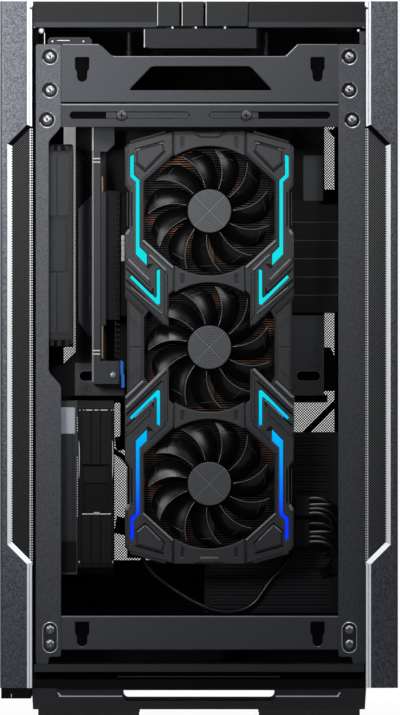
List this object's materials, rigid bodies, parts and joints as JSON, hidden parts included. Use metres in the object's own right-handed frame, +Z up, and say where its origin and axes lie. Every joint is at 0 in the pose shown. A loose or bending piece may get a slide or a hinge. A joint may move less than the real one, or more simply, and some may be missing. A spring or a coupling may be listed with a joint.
{
  "type": "small form factor computer case",
  "caption": "Upright compact computer case with its near side panel off, showing a frame of folded steel, fans, a power supply and a graphics card with glowing light strips.",
  "frame": {"origin": "on the floor, in the middle of the case's outline", "axes": "+X from the front panel to the rear panel, +Y from the open side to the perforated side panel, +Z up"},
  "size_m": [0.274, 0.17, 0.492],
  "materials": {
    "case_steel": "satin dark grey powder coat",
    "panel_aluminium": "fine blasted dark grey anodised aluminium with bright cut edges",
    "mesh_steel": "perforated, satin black",
    "black_plastic": "matte black moulding",
    "dark_plastic": "fine textured dark grey moulding",
    "fan_plastic": "semi gloss black moulding",
    "rubber": "matte",
    "fasteners": "dark nickel",
    "bright_steel": "bright",
    "fin_metal": "dull fin stock",
    "circuit_board": "black solder mask",
    "light_strip": "translucent, lit",
    "cable": "satin black insulation"
  },
  "bodies": {
    "case": {"base_stand": "black_plastic", "card_backplate": "fin_metal", "card_board": "circuit_board", "card_bracket": "case_steel", "card_fan_motors": "fan_plastic", "card_heatsink": "fin_metal", "card_light_strips": "light_strip", "card_rail": "case_steel", "card_shroud": "dark_plastic", "chassis_floor": "case_steel", "cover_pegs": "bright_steel", "far_bottom_rail": "case_steel", "far_front_post": "case_steel", "far_rear_post": "case_steel", "far_top_plate": "case_steel", "frame_screws": "fasteners", "front_end_cap": "dark_plastic", "front_far_mesh": "mesh_steel", "front_near_mesh": "mesh_steel", "front_panel": "panel_aluminium", "intake_fan_frame": "black_plastic", "latch_plate": "case_steel", "lighting_lead": "cable", "memory_modules": "black_plastic", "motherboard": "circuit_board", "motherboard_tray": "case_steel", "near_bottom_rail": "case_steel", "near_front_post": "case_steel", "near_rear_post": "case_steel", "near_top_plate": "case_steel", "power_leads": "cable", "power_plugs": "black_plastic", "psu_bracket": "case_steel", "psu_case": "case_steel", "pump_block": "dark_plastic", "radiator": "fin_metal", "radiator_fan_frame": "black_plastic", "radiator_hoses": "cable", "rear_far_mesh": "mesh_steel", "rear_near_mesh": "mesh_steel", "rear_panel": "panel_aluminium", "riser_bracket": "case_steel", "riser_plug": "black_plastic", "riser_ribbon": "cable", "riser_socket": "black_plastic", "rubber_feet": "rubber", "switch_housing": "black_plastic", "top_deck": "case_steel"},
    "card_fan_top": {"card_fan_top": "fan_plastic"},
    "card_fan_middle": {"card_fan_middle": "fan_plastic"},
    "card_fan_bottom": {"card_fan_bottom": "fan_plastic"},
    "intake_fan": {"intake_fan_rotor": "fan_plastic"},
    "radiator_fan": {"radiator_fan_rotor": "fan_plastic"},
    "side_panel": {"side_panel": "case_steel", "panel_studs": "fasteners"},
    "top_cover": {"top_cover": "dark_plastic"},
    "power_button": {"power_button": "dark_plastic"},
    "mode_button": {"mode_button": "dark_plastic"},
    "light_button": {"light_button": "dark_plastic"}
  },
  "joints": [
    {"name": "card_fan_top_spin", "type": "hinge", "parent": "case", "child": "card_fan_top", "pos_m": [0.0072, -0.053, 0.3479], "axis": [0, 1, 0], "continuous": true},
    {"name": "card_fan_middle_spin", "type": "hinge", "parent": "case", "child": "card_fan_middle", "pos_m": [0.0072, -0.053, 0.2538], "axis": [0, 1, 0], "continuous": true},
    {"name": "card_fan_bottom_spin", "type": "hinge", "parent": "case", "child": "card_fan_bottom", "pos_m": [0.0072, -0.053, 0.1597], "axis": [0, 1, 0], "continuous": true},
    {"name": "intake_fan_spin", "type": "hinge", "parent": "case", "child": "intake_fan", "pos_m": [-0.0999, 0, 0.324], "axis": [1, 0, 0], "continuous": true},
    {"name": "radiator_fan_spin", "type": "hinge", "parent": "case", "child": "radiator_fan", "pos_m": [-0.0714, 0, 0.157], "axis": [1, 0, 0], "continuous": true},
    {"name": "side_panel_lift", "type": "slide", "parent": "case", "child": "side_panel", "axis": [0, 0, 1], "range_m": [0, 0.0086]},
    {"name": "top_cover_lift", "type": "slide", "parent": "case", "child": "top_cover", "axis": [0, 0, 1], "range_m": [0, 0.03]},
    {"name": "power_button_press", "type": "slide", "parent": "case", "child": "power_button", "axis": [0, 0, -1], "range_m": [0, 0.0012], "stiffness_N_per_m": 600},
    {"name": "mode_button_press", "type": "slide", "parent": "case", "child": "mode_button", "axis": [0, 0, -1], "range_m": [0, 0.0012], "stiffness_N_per_m": 600},
    {"name": "light_button_press", "type": "slide", "parent": "case", "child": "light_button", "axis": [0, 0, -1], "range_m": [0, 0.0012], "stiffness_N_per_m": 600}
  ]
}
